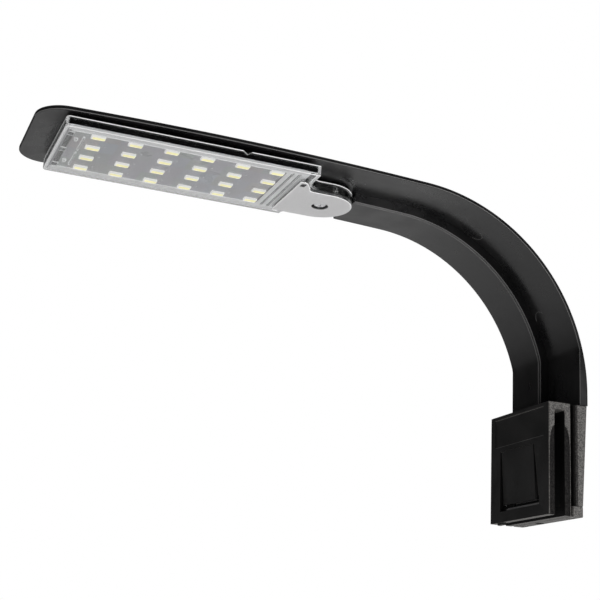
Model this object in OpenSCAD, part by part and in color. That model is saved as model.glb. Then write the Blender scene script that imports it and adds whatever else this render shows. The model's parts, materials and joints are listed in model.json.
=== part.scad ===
// Clip-on LED aquarium light: a rim clip with a sprung tongue, a curved arm with a
// covered cable channel, and a thin clear lamp that swings about a screw under the head.
// Frame: X runs from the clip to the lamp, Y across the arm, Z up.
// The origin is the middle of the roof of the glass slot. Millimetres.

/* [Clip] */
// Width of the clip and of the foot behind it
clip_w = 49; // [44:1:54]
// Depth of the glass slot below its roof
slot_deep = 45; // [40:1:50]
// Width of the glass slot
slot_w = 5; // [4.6:0.1:5.4]
// Thickness of the front leg
front_leg = 2.9; // [2.5:0.1:3.5]
// Thickness of the back leg
back_leg = 2.8; // [2.5:0.1:3.2]
// Thickness of the bridge over the slot
bridge_t = 3; // [2.5:0.1:4]
// Thickness of the foot at its top, behind the clip
foot_top_t = 7; // [6.6:0.1:7.6]
// Thickness of the foot at its lower end
foot_low_t = 4.4; // [4.2:0.1:5]

/* [Tongue] */
// Width of the sprung tongue
tongue_w = 27; // [22:1:30]
// Length of the sprung tongue below its root
tongue_len = 24; // [20:1:26]
// Thickness of the tongue
tongue_t = 2; // [1.6:0.1:2.4]

/* [Arm] */
// Radius of the outer face of the elbow
elbow_r = 82.75; // [80:0.25:86]
// Upward slope of the head where it leaves the elbow, degrees
head_slope = 2.8; // [2:0.2:3.4]
// Radius of the long bow of the head
head_bow_r = 2000; // [1600:50:2600]
// X of the tip of the head
tip_x = 232.6; // [228:0.2:238]
// Thickness of the arm plate
plate_t = 1.8; // [1.6:0.1:2.2]
// Y of the arm's straight near edge
near_y = 25; // [24.6:0.1:27]
// Y of the far edge beside the clip
far_y_low = -25.4; // [-27:0.1:-25]
// Y of the far edge along the head
far_y_head = -34.6; // [-36:0.2:-32]
// Corner radius at the tip
tip_corner = 12; // [8:0.5:16]

/* [Cable channel] */
// Height of the channel wall below the plate
wall_h = 4.2; // [4:0.1:4.6]
// Thickness of the channel walls
wall_t = 1.3; // [1:0.1:1.6]
// Y of the channel's far side
channel_far_y = -24.5; // [-25:0.1:-24]
// Thickness of the snap-in cover
cover_t = 1.4; // [1.2:0.1:1.6]
// Gap beside the cover
cover_gap = 0.4; // [0.3:0.05:0.6]

/* [Lamp] */
// Length of the lamp tray
tray_l = 107.2; // [104:0.2:110]
// Width of the lamp tray
tray_w = 50.7; // [50:0.1:52]
// Height of the lamp tray
tray_h = 4.55; // [4.4:0.05:4.8]
// Wall thickness of the clear tray
tray_wall = 1.2; // [1:0.1:1.3]
// Z of the tray's upper rim
tray_top = 89.3; // [89:0.05:89.4]
// X of the pivot
pivot_x = 102.8; // [102:0.1:104]
// Y of the pivot
pivot_y = -5.9; // [-6.5:0.1:-5]
// Radius of the round pivot lug
lug_r = 14; // [13.6:0.1:14.2]
// Step of the lug below the tray
lug_step = 1.45; // [1.2:0.05:1.6]

/* [LEDs] */
// Number of LED columns along the lamp
led_cols = 6; // [4:1:6]
// Number of LED rows across the lamp
led_rows = 4; // [2:1:4]
// Spacing of the columns
led_pitch_x = 15.2; // [14:0.1:15.2]
// Spacing of the rows
led_pitch_y = 11.5; // [10:0.1:11.6]
// Length of one LED package
led_l = 5.7; // [5:0.1:5.8]
// Width of one LED package
led_w = 3; // [2.8:0.1:3.2]

/* [Hidden] */
e = 0.01;
$fn = 48;

// clip and foot
front_x = slot_w / 2 + front_leg;
back_x = -slot_w / 2 - back_leg;
groove = 1.6;
foot_x = back_x - groove;
foot_back_top = foot_x - foot_top_t;
foot_back_low = foot_x - foot_low_t;
cap_h = 4.5;
foot_low_z = -slot_deep + cap_h;
pocket_x = [foot_x - 5.4, foot_x - 1.4];
pocket_w = 28;
fit_gap = 0.2;
screw_y = 9;
cap_screw_y = 19;
inlet_x = foot_x - 1.9;
inlet_r = 2;

// tongue
tongue_y = -1.6;
tongue_root_z = -13.5;
knuckle_r = 1;
knuckle_x = front_x - 1.55;
knuckle_gap = 0.08;
tongue_gap = 0.8;
tongue_lean = 1.25;

// arm
elbow_c = [foot_back_top + elbow_r, 8.5];
head_a = 90 + head_slope;
head_c = elbow_c + (elbow_r - head_bow_r) * on_circle(head_a);
plate_in_x = foot_back_top + 4.1;
wall_in_x = plate_in_x + 3.5;
channel_end_x = pivot_x - 14.3;
lug_clear = 0.9;
tenon_z = -24;
lead_t = 0.75;
lead_w = 3;
lead_lift = 0.03;
lead_end_z = -37;
rib_angles = [108, 126, 144, 162];
rib_t = 1;
snap_h = 1.2;
snap_t = 0.9;

// lamp
tray_x0 = pivot_x + 11.5;
tray_x1 = tray_x0 + tray_l;
tray_y = -1.55;
tray_z0 = tray_top - tray_h;
floor_t = 1;
lug_z0 = tray_z0 - lug_step;
blend_r = 6.5;
lid_gap = 0.15;
lid_t = 1.1;
skirt_t = 1;
skirt_z0 = tray_z0 + 1.65;
board_t = 0.9;
board_z0 = tray_z0 + 2;
board_x = [tray_x0 + 13.5, tray_x1 - 4.9];
board_y = [tray_y - tray_w / 2 + 3.2, tray_y + tray_w / 2 - 3.2];
led_x1 = tray_x1 - 14.5;
led_t = 0.9;
led_rim = 0.3;
window_t = 0.27;
part_h = 0.45;
terminal_t = 0.35;

ridge_w = 0.5;
ridge_h = 0.75;
far_ridges = [2.6, 3.9, 5.2];
near_ridges = [3.2, 4.9];
detent_x = tray_x0 + 32.6;
detent_w = 4.4;
detent_h = 1.5;
detent_deep = 0.8;

// pivot
head_under_z = head_c[1] + sqrt(pow(head_bow_r, 2) - pow(pivot_x - head_c[0], 2)) - plate_t;
boss_r = 7.5;
boss_z0 = tray_top + 0.4;
bush_r = 5.2;
spigot_r = 2.6;
shelf_z = [lug_z0 + 1.7, lug_z0 + 2.7];
recess_r = 3.7;
washer_t = 0.35;
screw_head_z = shelf_z[0] - 0.1 - washer_t;

function on_circle(a) = [cos(a), sin(a)];
function arc(c, r, a0, a1, n) = [for (i = [0:n]) c + r * on_circle(a0 + (a1 - a0) * i / n)];
function reversed(p) = [for (i = [len(p) - 1:-1:0]) p[i]];

// side outline of the arm's face lying d inside its outer face, from z0 up the back
// at x = xv, round the elbow and out along the bowed head to x = x1
function arm_line(d, xv, z0, x1) = concat(
  [[xv, z0]],
  arc(elbow_c, elbow_r - d, acos(max(-1, (xv - elbow_c[0]) / (elbow_r - d))), head_a, 44),
  arc(head_c, head_bow_r - d, head_a - 0.01, acos((x1 - head_c[0]) / (head_bow_r - d)), 12));

// solid between two such faces, from y0 to y1
module arm_band(d0, d1, xv0, xv1, z0, x1, y0, y1)
  translate([0, y1, 0]) rotate([90, 0, 0]) linear_extrude(y1 - y0)
    polygon(concat(arm_line(d0, xv0, z0, x1), reversed(arm_line(d1, xv1, z0, x1))));

// plan of the arm: straight near edge, far edge flaring out to the head, round tip corners
module arm_plan() {
  r = tip_corner;
  polygon(concat(
    [[foot_back_top - 5, near_y], [foot_back_top - 5, far_y_low], [0, far_y_low], [120, far_y_head]],
    arc([tip_x - r, far_y_head + r], r, -90, 0, 10),
    arc([tip_x - r, near_y - r], r, 0, 90, 10)));
}

// place r from the elbow's centre, at angle a from the X axis
module at_elbow(a, r, y)
  translate([elbow_c[0], y, elbow_c[1]]) rotate([0, -a, 0]) translate([r, 0, 0]) children();

// round space in which the lug turns
module swing_clearance()
  translate([pivot_x, pivot_y, lug_z0 - 5])
    cylinder(r = lug_r + lug_clear, h = tray_top - lug_z0 + 5.2, $fn = 96);

module arm_shell() color([0.09, 0.09, 0.1]) difference() {
  union() {
    intersection() {
      arm_band(0, plate_t, foot_back_top, plate_in_x, bridge_t, tip_x + 5, far_y_head - 5, near_y + 5);
      translate([0, 0, -60]) linear_extrude(200) arm_plan();
    }
    difference() {
      union() {
        channel_wall(-wall_t, 0, 0);
        channel_wall(channel_far_y, channel_far_y + wall_t, cover_t + e);
      }
      swing_clearance();
    }
    // locating ribs inside the channel
    for (a = rib_angles)
      at_elbow(a, elbow_r - plate_t - wall_h + cover_t + 0.1, channel_far_y + wall_t - e)
        translate([0, 0, -rib_t / 2]) cube([wall_h - cover_t, 6, rib_t]);
    // tenon that drops into the foot
    translate([pocket_x[0] + fit_gap, -pocket_w / 2 + fit_gap, tenon_z])
      cube([plate_in_x - pocket_x[0] - fit_gap, pocket_w - 2 * fit_gap, bridge_t - tenon_z + e]);
    translate([pivot_x, pivot_y, boss_z0]) cylinder(r = boss_r, h = head_under_z - boss_z0 + 0.5);
  }
  translate([pivot_x, pivot_y, boss_z0 - 1]) cylinder(r = bush_r, h = head_under_z + 1.1 - boss_z0 + 1);
  for (s = [-1, 1]) translate([pocket_x[0] - 1, s * screw_y, -9]) rotate([0, 90, 0])
    cylinder(r = 1.1, h = 8);
}

module channel_wall(y0, y1, short)
  arm_band(plate_t - e, plate_t + wall_h - short, plate_in_x - e, wall_in_x - short,
    bridge_t, channel_end_x, y0, y1);

module channel_cover() color([0.13, 0.13, 0.14]) difference() {
  union() {
    arm_band(plate_t + wall_h - cover_t, plate_t + wall_h, wall_in_x - cover_t, wall_in_x,
      bridge_t + 0.2, channel_end_x, channel_far_y, -wall_t - cover_gap);
    // snap ribs along the cover's inside
    for (y = [-wall_t - cover_gap - snap_t, channel_far_y + wall_t + 0.1])
      arm_band(plate_t + wall_h - cover_t - snap_h, plate_t + wall_h - cover_t + e,
        wall_in_x - cover_t - snap_h, wall_in_x - cover_t + e,
        bridge_t + 4, channel_end_x - 4, y, y + snap_t);
  }
  swing_clearance();
  for (a = rib_angles)
    at_elbow(a, elbow_r - plate_t - wall_h + cover_t - 0.2, channel_far_y + wall_t - 1)
      translate([0, 0, -rib_t / 2 - 0.4]) cube([wall_h, 8, rib_t + 0.8]);
}

// flat two-core lead lying on the plate, from the foot to the pivot boss
module channel_lead() color([0.2, 0.2, 0.21])
  arm_band(plate_t + lead_lift, plate_t + lead_t, plate_in_x + lead_lift, plate_in_x + lead_t, lead_end_z,
    pivot_x - boss_r, pivot_y - lead_w / 2, pivot_y + lead_w / 2);

module foot_outline(z0, z1) {
  r = 2.4;
  slope = (foot_back_low - foot_back_top) / (bridge_t + slot_deep);
  at_z = function(z) foot_back_top + slope * (bridge_t - z);
  intersection() {
    translate([0, clip_w / 2, 0]) rotate([90, 0, 0]) linear_extrude(clip_w)
      polygon([[foot_x, z0], [foot_x, z1], [at_z(z1), z1], [at_z(z0), z0]]);
    translate([0, 0, z0]) linear_extrude(z1 - z0) polygon(concat(
      [[foot_back_top, clip_w / 2], [foot_back_top, -clip_w / 2]],
      arc([foot_x - r, -clip_w / 2 + r], r, -90, 0, 8),
      arc([foot_x - r, clip_w / 2 - r], r, 0, 90, 8)));
  }
}

module tongue_window() {
  z0 = tongue_root_z - tongue_len - 1.5;
  w = tongue_w / 2 + tongue_gap;
  translate([slot_w / 2 - 1, tongue_y, 0]) rotate([90, 0, 90]) linear_extrude(front_leg + 2)
    polygon([[-w, z0], [w + 2.2, z0], [w - 0.3, tongue_root_z], [-w, tongue_root_z]]);
}

// step back of a leg's near end, below a shoulder that curves down from the slot side
module leg_recess(inner_x, outer_x) {
  drop = 9;
  shoulder_z = -16;
  translate([0, clip_w / 2 + 1, 0]) rotate([90, 0, 0]) linear_extrude(1.35)
    polygon(concat([[inner_x, -slot_deep - 1], [outer_x, -slot_deep - 1]],
      [for (a = [0:10:90]) [outer_x + (inner_x - outer_x) * (1 - cos(a)), shoulder_z + drop * sin(a)]]));
}

module clip_body() color([0.16, 0.16, 0.16]) difference() {
  union() {
    translate([back_x, -clip_w / 2, -slot_deep]) cube([front_x - back_x, clip_w, slot_deep + bridge_t]);
    translate([foot_x - e, -clip_w / 2 + 3, foot_low_z])
      cube([groove + 2 * e, clip_w - 6, bridge_t - foot_low_z - 1]);
    foot_outline(foot_low_z, bridge_t);
    translate([slot_w / 2 + 0.6, -19, -slot_deep - 1.1]) cube([1.8, 5, 1.2]);
  }
  // glass slot
  translate([-slot_w / 2, -clip_w / 2 - 1, -slot_deep - 5]) cube([slot_w, clip_w + 2, slot_deep + 5]);
  tongue_window();
  // knuckle seat of the tongue
  translate([knuckle_x, tongue_y - tongue_w / 2 - tongue_gap, tongue_root_z]) rotate([-90, 0, 0])
    cylinder(r = knuckle_r + knuckle_gap, h = tongue_w + 2 * tongue_gap - 0.3);
  leg_recess(slot_w / 2 - 1, front_x - 0.35);
  leg_recess(-slot_w / 2 + 1, back_x + 0.35);
  // shallow front panel
  translate([front_x - 0.35, -20.5, -11]) cube([1, 40.5, 12.2]);
  // pad recess in the back leg
  translate([-slot_w / 2 - 0.8, -20, -41]) cube([2, 40, 36]);
  // hollow of the foot
  translate([pocket_x[0], -pocket_w / 2, tenon_z - 1]) cube([3, pocket_w, bridge_t - tenon_z + 5]);
  translate([pocket_x[0] + 2, -pocket_w / 2, foot_low_z - 1])
    cube([pocket_x[1] - pocket_x[0] - 2, pocket_w, bridge_t - foot_low_z + 5]);
  for (s = [-1, 1]) {
    translate([foot_back_top - 1, s * screw_y, -9]) rotate([0, 90, 0]) cylinder(r = 1.3, h = 4);
    translate([foot_back_top - 1, s * screw_y, -9]) rotate([0, 90, 0]) cylinder(r = 2.5, h = 2);
    translate([foot_x - 2.2, s * cap_screw_y, foot_low_z - 1]) cylinder(r = 0.9, h = 8);
  }
}

module clip_tongue() color([0.17, 0.17, 0.17]) union() {
  translate([knuckle_x, tongue_y - tongue_w / 2, tongue_root_z]) rotate([-90, 0, 0])
    cylinder(r = knuckle_r, h = tongue_w);
  translate([0, tongue_y + tongue_w / 2, 0]) rotate([90, 0, 0]) linear_extrude(tongue_w) polygon([
    [front_x, tongue_root_z - 0.25],
    [knuckle_x, tongue_root_z],
    [knuckle_x - knuckle_r + 0.2, tongue_root_z - 0.25],
    [front_x - tongue_lean - tongue_t, tongue_root_z - tongue_len],
    [front_x - tongue_lean, tongue_root_z - tongue_len]]);
}

module slot_pad() color([0.25, 0.25, 0.25])
  translate([-slot_w / 2 - 0.8, -20, -41]) cube([0.8, 40, 36]);

module foot_end_cap() color([0.16, 0.16, 0.16]) difference() {
  union() {
    translate([foot_back_low - 0.15, -clip_w / 2, -slot_deep]) cube([foot_low_t + 0.9, clip_w, cap_h]);
    translate([pocket_x[0] + 2.2, -pocket_w / 2 + 0.2, foot_low_z - e]) cube([1.6, 6, 3]);
    translate([pocket_x[0] + 2.2, pocket_w / 2 - 6.2, foot_low_z - e]) cube([1.6, 6, 3]);
  }
  translate([inlet_x, pivot_y, -slot_deep - 1]) cylinder(r = inlet_r, h = cap_h + 2);
  for (s = [-1, 1]) translate([foot_x - 2.2, s * cap_screw_y, -slot_deep - 1]) {
    cylinder(r = 1.1, h = cap_h + 2);
    cylinder(r = 1.7, h = 2.3);
  }
}

// rubber sleeve pressed into the end cap, flush with its underside
module inlet_grommet() color([0.06, 0.06, 0.06]) translate([inlet_x, pivot_y, -slot_deep]) difference() {
  cylinder(r = inlet_r, h = cap_h);
  translate([0, 0, -1]) cylinder(r = inlet_r - 0.5, h = cap_h + 2);
}

// bar pushed in between the lead and the foot's inner wall, so that a pull stays in the foot
module lead_clamp() color([0.3, 0.3, 0.3])
  translate([plate_in_x + lead_t, pivot_y - 5, -33]) cube([pocket_x[1] - plate_in_x - lead_t, 10, 4]);

module arm_screws() color([0.7, 0.7, 0.72]) for (s = [-1, 1])
  translate([foot_back_top + 0.6, s * screw_y, -9]) rotate([0, 90, 0]) difference() {
    union() {
      cylinder(r = 2.2, h = 0.4);
      cylinder(r = 1.1, h = 3.6);
    }
    translate([-1.3, -0.2, -1]) cube([2.6, 0.4, 1.2]);
    translate([-0.2, -1.3, -1]) cube([0.4, 2.6, 1.2]);
  }

module end_cap_screws() color([0.7, 0.7, 0.72]) for (s = [-1, 1])
  translate([foot_x - 2.2, s * cap_screw_y, -slot_deep + 0.3]) difference() {
    union() {
      cylinder(r = 1.6, h = 1);
      cylinder(r = 0.9, h = 9);
    }
    translate([-1, -0.2, -1]) cube([2, 0.4, 1.5]);
    translate([-0.2, -1, -1]) cube([0.4, 2, 1.5]);
  }

module at_pivot(z) translate([pivot_x, pivot_y, z]) children();

module pivot_bush() color([0.12, 0.12, 0.12]) at_pivot(0) difference() {
  union() {
    translate([0, 0, shelf_z[1] + 0.1]) cylinder(r = bush_r, h = head_under_z + 1 - shelf_z[1] - 0.1);
    translate([0, 0, shelf_z[0] - 0.1]) cylinder(r = spigot_r, h = 2);
  }
  translate([0, 0, lug_z0]) cylinder(r = 1.7, h = 20);
  translate([0, 0, shelf_z[1] + 2.2]) cylinder(r = 2.4, h = 20);
}

module pivot_insert() color([0.78, 0.62, 0.3]) at_pivot(shelf_z[1] + 2.2) difference() {
  cylinder(r = 2.4, h = head_under_z + 0.8 - shelf_z[1] - 2.2);
  translate([0, 0, -1]) cylinder(r = 1.5, h = 10);
}

module pivot_washer() color([0.75, 0.75, 0.77]) at_pivot(screw_head_z) difference() {
  cylinder(r = 3.4, h = washer_t);
  translate([0, 0, -1]) cylinder(r = 1.6, h = 3);
}

module pivot_screw() color([0.8, 0.8, 0.82]) at_pivot(0) difference() {
  union() {
    translate([0, 0, screw_head_z - 1]) cylinder(r = 2.8, h = 1);
    translate([0, 0, screw_head_z - e]) cylinder(r = 1.5, h = head_under_z - screw_head_z + 0.6);
  }
  translate([-1.6, -0.3, screw_head_z - 2]) cube([3.2, 0.6, 1.6]);
  translate([-0.3, -1.6, screw_head_z - 2]) cube([0.6, 3.2, 1.6]);
}

module friction_washer() color([0.5, 0.5, 0.52]) at_pivot(tray_top + 0.05) difference() {
  cylinder(r = 7, h = boss_z0 - tray_top - 0.05);
  translate([0, 0, -1]) cylinder(r = bush_r + 0.1, h = 3);
}

// plan of the lamp, drawn d inside its outer wall: tray, round lug, blended corners
module lamp_plan(d) {
  y0 = tray_y - tray_w / 2 + d;
  y1 = tray_y + tray_w / 2 - d;
  c = 1.5;
  f = blend_r + d;
  x0 = tray_x0 + d;
  yn = pivot_y + lug_r - d;
  yf = pivot_y - lug_r + d;
  polygon(concat(
    arc([tray_x1 - d - c, y1 - c], c, 0, 90, 5),
    [[x0, y1], [x0, yn + f]],
    arc([x0 - f, yn + f], f, 0, -90, 10),
    arc([pivot_x, pivot_y], lug_r - d, 90, 270, 36),
    arc([x0 - f, yf - f], f, 90, asin(max(0, (f - yf + y0) / f)), 10),
    [[x0, y0]],
    arc([tray_x1 - d - c, y0 + c], c, -90, 0, 5)));
}

// plan of the deeper lug floor
module lug_plan(d)
  polygon(concat(
    arc([pivot_x, pivot_y], lug_r - d, 90, 270, 36),
    [[pivot_x + 18 - d, pivot_y - lug_r + d],
     [pivot_x + 17.6 - d, 16.5 - d],
     [pivot_x + 14.4 + d, 16.5 - d],
     [pivot_x + 11.4 + d, pivot_y + lug_r + 3 - d],
     [pivot_x + 8.4, pivot_y + lug_r - d]]));

module lamp_housing() color([0.85, 0.88, 0.9, 0.5]) difference() {
  union() {
    difference() {
      union() {
        translate([0, 0, tray_z0]) linear_extrude(tray_h) lamp_plan(0);
        translate([0, 0, lug_z0]) linear_extrude(lug_step + e) lug_plan(0);
      }
      translate([0, 0, tray_z0 + floor_t]) linear_extrude(tray_h) lamp_plan(tray_wall);
      translate([0, 0, lug_z0 + floor_t]) linear_extrude(lug_step + e) lug_plan(tray_wall);
    }
    translate([pivot_x, pivot_y, lug_z0]) cylinder(r = recess_r + 1, h = shelf_z[1] - lug_z0);
    housing_details();
  }
  translate([pivot_x, pivot_y, lug_z0 - 1]) cylinder(r = recess_r, h = shelf_z[0] - lug_z0 + 1);
  translate([pivot_x, pivot_y, lug_z0]) cylinder(r = spigot_r + 0.3, h = 5);
  rim_detent(0, tray_wall + 1);
  // shallow square pocket at the near corner of the lug
  translate([pivot_x + 14.4, 12, lug_z0 - 1]) cube([2.2, 3.2, 1.4]);
}

// V in the near rim, cut from d inside the outer wall, over the given depth
module rim_detent(d, deep)
  translate([detent_x, tray_y + tray_w / 2 - d + 1, tray_top]) rotate([90, 0, 0]) linear_extrude(deep + 1)
    polygon([[-detent_w / 2, e], [0, -detent_h], [detent_w / 2, e]]);

// moulded details on the tray floor: cross beads, corner blocks, posts and thin ribs
module housing_details() {
  z = tray_z0 + floor_t - e;
  for (x = [tray_x0 + 8.1, tray_x0 + 11.1])
    translate([x - 0.5, tray_y - 21.5, z]) cube([1, 43, 0.5]);
  for (y = [-17.2, 0, 17.2])
    translate([tray_x1 - 4.8, tray_y + y - 1.7, z]) cube([2.3, 3.4, 0.6]);
  for (y = [-12, 12]) translate([tray_x1 - 6.6, tray_y + y, z]) cylinder(r = 0.9, h = board_z0 - z);
  for (y = [-15.5, 1.5]) translate([tray_x1 - 9.6, tray_y + y, z]) cube([0.8, 14, board_z0 - z - 0.1]);
  // stiffening ridges along both long sides
  for (y = concat([for (d = far_ridges) d - tray_w / 2], [for (d = near_ridges) tray_w / 2 - d]))
    translate([tray_x0 + 13, tray_y + y, z]) cube([tray_l - 16, ridge_w, ridge_h]);
}

module lamp_lid() color([0.05, 0.05, 0.05]) difference() {
  union() {
    translate([0, 0, tray_top - lid_t]) linear_extrude(lid_t) lamp_plan(tray_wall + lid_gap);
    translate([0, 0, skirt_z0]) linear_extrude(tray_top - skirt_z0 - e) difference() {
      lamp_plan(tray_wall + lid_gap);
      lamp_plan(tray_wall + lid_gap + skirt_t);
    }
    at_pivot(shelf_z[1] + 0.1) cylinder(r = bush_r + 1.5, h = tray_top - shelf_z[1] - 0.1 - e);
  }
  translate([pivot_x, pivot_y, lug_z0]) cylinder(r = bush_r + 0.2, h = 20);
  rim_detent(0, tray_wall + lid_gap + detent_deep);
}

module lid_gasket() color([0.75, 0.75, 0.75]) translate([0, 0, tray_z0 + floor_t])
  linear_extrude(skirt_z0 - tray_z0 - floor_t) difference() {
    lamp_plan(tray_wall + lid_gap);
    lamp_plan(tray_wall + lid_gap + skirt_t);
    translate([tray_x0 - 40, tray_y - 40]) square([46, 80]);
  }

module led_board() color([0.62, 0.64, 0.68])
  translate([board_x[0], board_y[0], board_z0])
    cube([board_x[1] - board_x[0], board_y[1] - board_y[0], board_t]);

module at_leds() for (i = [0:led_cols - 1], j = [0:led_rows - 1])
  translate([led_x1 - i * led_pitch_x, tray_y + (j - (led_rows - 1) / 2) * led_pitch_y, board_z0])
    children();

module led_packages() color([0.95, 0.95, 0.93]) at_leds() difference() {
  translate([-led_l / 2, -led_w / 2, -led_t]) cube([led_l, led_w, led_t]);
  translate([led_rim - led_l / 2, led_rim - led_w / 2, -led_t - 1])
    cube([led_l - 2 * led_rim, led_w - 2 * led_rim, window_t + 1.08]);
}

module led_windows() color([1, 0.93, 0.5]) at_leds()
  translate([led_rim - led_l / 2, led_rim - led_w / 2, 0.08 - led_t])
    cube([led_l - 2 * led_rim, led_w - 2 * led_rim, window_t]);

module solder_dots() color([0.85, 0.85, 0.87]) at_leds()
  translate([-4.7, 2.2, -0.25]) cylinder(r = 0.35, h = 0.25, $fn = 16);

module board_resistors() color([0.1, 0.1, 0.1]) for (j = [0:5])
  translate([board_x[0] + 4, tray_y - 16 + j * 6, board_z0 + board_t]) cube([2, 1.25, part_h]);

module lead_terminals() color([0.8, 0.8, 0.82]) for (s = [-1, 1])
  translate([board_x[0] + 1, pivot_y + s * 0.9 - 0.6, board_z0 + board_t]) cube([2, 1.2, terminal_t]);

// short flat lead inside the lug, from the pivot hub to the terminals
module lamp_lead() color([0.2, 0.2, 0.21])
  translate([pivot_x + bush_r + 1.6, pivot_y - lead_w / 2, board_z0 + board_t])
    cube([board_x[0] + 1 - pivot_x - bush_r - 1.6, lead_w, part_h]);

arm_shell();
channel_cover();
channel_lead();
clip_body();
clip_tongue();
slot_pad();
foot_end_cap();
inlet_grommet();
lead_clamp();
arm_screws();
end_cap_screws();
pivot_bush();
pivot_insert();
pivot_washer();
pivot_screw();
friction_washer();
lamp_housing();
lamp_lid();
lid_gasket();
led_board();
led_packages();
led_windows();
solder_dots();
board_resistors();
lead_terminals();
lamp_lead();
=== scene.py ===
"""Looks of a clip-on led aquarium light: satin black arm, clear lamp tray, gloss lid, sprung clip."""
import json
import math

import bmesh
import bpy
from mathutils import Matrix, Vector

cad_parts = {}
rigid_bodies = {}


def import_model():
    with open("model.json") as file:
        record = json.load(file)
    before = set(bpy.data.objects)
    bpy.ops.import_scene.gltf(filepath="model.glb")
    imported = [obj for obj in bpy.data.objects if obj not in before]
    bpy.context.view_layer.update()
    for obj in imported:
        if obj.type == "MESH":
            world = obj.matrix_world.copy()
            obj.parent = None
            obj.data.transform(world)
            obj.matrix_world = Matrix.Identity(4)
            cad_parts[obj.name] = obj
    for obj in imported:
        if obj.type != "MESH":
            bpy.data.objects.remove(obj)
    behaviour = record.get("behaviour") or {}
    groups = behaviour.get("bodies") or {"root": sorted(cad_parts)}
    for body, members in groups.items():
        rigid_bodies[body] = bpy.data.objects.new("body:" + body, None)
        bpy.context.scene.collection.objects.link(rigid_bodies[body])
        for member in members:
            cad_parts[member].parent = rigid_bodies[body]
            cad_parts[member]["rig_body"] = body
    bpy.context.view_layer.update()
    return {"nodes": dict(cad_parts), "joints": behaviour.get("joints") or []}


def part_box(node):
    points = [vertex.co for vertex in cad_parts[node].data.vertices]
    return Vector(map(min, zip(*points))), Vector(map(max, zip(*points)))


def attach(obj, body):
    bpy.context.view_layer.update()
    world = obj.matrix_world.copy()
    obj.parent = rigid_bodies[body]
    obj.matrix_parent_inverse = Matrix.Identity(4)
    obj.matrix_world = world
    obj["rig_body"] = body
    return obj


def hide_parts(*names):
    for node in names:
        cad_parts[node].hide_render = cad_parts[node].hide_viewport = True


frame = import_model()
MM = 0.001
SHARP = 32  # edges over this angle, in degrees, stay crisp


# -------- mesh helpers
# Shapes are worked out in millimetres along the record's axes, and stored in metres.

def arc(centre, radius, start, end, count):
    """count + 1 points on a circle, from angle start to end in degrees."""
    angles = [math.radians(start + (end - start) * i / count) for i in range(count + 1)]
    return [(centre[0] + radius * math.cos(a), centre[1] + radius * math.sin(a)) for a in angles]


def circle(centre, radius, count=24):
    """count points round a whole circle."""
    return arc(centre, radius, 0, 360 - 360 / count, count - 1)


def quarter(radius, count=4):
    """(inset, rise) along a quarter round, from the flat face out to the wall."""
    angles = [math.pi / 2 * i / count for i in range(count + 1)]
    return [(radius * (1 - math.sin(a)), radius * (1 - math.cos(a))) for a in angles]


def inset(loop, amount):
    """A closed outline with every edge moved inwards, for an outline that runs anticlockwise."""
    result = []
    for i, here in enumerate(loop):
        before, after = loop[i - 1], loop[(i + 1) % len(loop)]
        a = Vector((here[0] - before[0], here[1] - before[1])).normalized()
        b = Vector((after[0] - here[0], after[1] - here[1])).normalized()
        normal_a, normal_b = Vector((-a.y, a.x)), Vector((-b.y, b.x))
        bisector = (normal_a + normal_b).normalized()
        reach = amount / max(0.3, bisector.dot(normal_a))
        result.append((here[0] + bisector.x * reach, here[1] + bisector.y * reach))
    return result


def box(x0, y0, x1, y1):
    """Outline of a rectangle."""
    return [(x0, y0), (x1, y0), (x1, y1), (x0, y1)]


def rounded_bar(x0, y0, x1, y1, r):
    """Outline of a rectangle with rounded corners."""
    points = arc((x1 - r, y0 + r), r, -90, 0, 4) + arc((x1 - r, y1 - r), r, 0, 90, 4)
    return points + arc((x0 + r, y1 - r), r, 90, 180, 4) + arc((x0 + r, y0 + r), r, 180, 270, 4)


class Builder:
    """Collects closed shells, given in millimetres, into one mesh."""

    def __init__(self):
        self.bm = bmesh.new()

    def stack(self, rings, caps=True):
        """Strips between rings of equally many points, with a flat cap at each end or closed on itself."""
        rows = [[self.bm.verts.new(Vector(p) * MM) for p in ring] for ring in rings]
        faces = []
        for low, high in zip(rows, rows[1:] if caps else rows[1:] + rows[:1]):
            for i in range(len(low)):
                j = (i + 1) % len(low)
                faces.append(self.bm.faces.new((low[i], low[j], high[j], high[i])))
        if caps:
            faces.append(self.bm.faces.new(rows[0][::-1]))
            faces.append(self.bm.faces.new(rows[-1]))
        bmesh.ops.recalc_face_normals(self.bm, faces=faces)
        return faces

    def prism(self, loop, low, high, edge, place):
        """An outline drawn out between two heights, its end edges rounded; place maps (u, v, w) to XYZ."""
        rings = [(cut, low + rise) for cut, rise in quarter(edge)]
        rings += [(cut, high - rise) for cut, rise in reversed(quarter(edge))]
        return self.stack([[place(u, v, w) for u, v in inset(loop, cut)] for cut, w in rings])

    def lathe(self, profile, centre, count=48):
        """A solid of revolution about a vertical axis from (radius, z) points, with flat caps."""
        rings = []
        for radius, z in profile:
            rings.append([(centre[0] + radius * math.cos(2 * math.pi * i / count),
                           centre[1] + radius * math.sin(2 * math.pi * i / count), z) for i in range(count)])
        return self.stack(rings)

    def bare(self, name):
        """The shells as a mesh, for carving with."""
        mesh = bpy.data.meshes.new(name)
        self.bm.to_mesh(mesh)
        self.bm.free()
        return mesh

    def mesh(self, name):
        """The shells as a mesh, shaded."""
        return finished(self.bare(name))


def new_object(name, data):
    """An object in the scene."""
    made = bpy.data.objects.new(name, data)
    bpy.context.scene.collection.objects.link(made)
    return made


def baked(holder):
    """The mesh that an object's modifiers make of its own; the object goes."""
    evaluated = holder.evaluated_get(bpy.context.evaluated_depsgraph_get())
    result = bpy.data.meshes.new_from_object(evaluated)
    bpy.data.objects.remove(holder)
    return result


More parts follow.
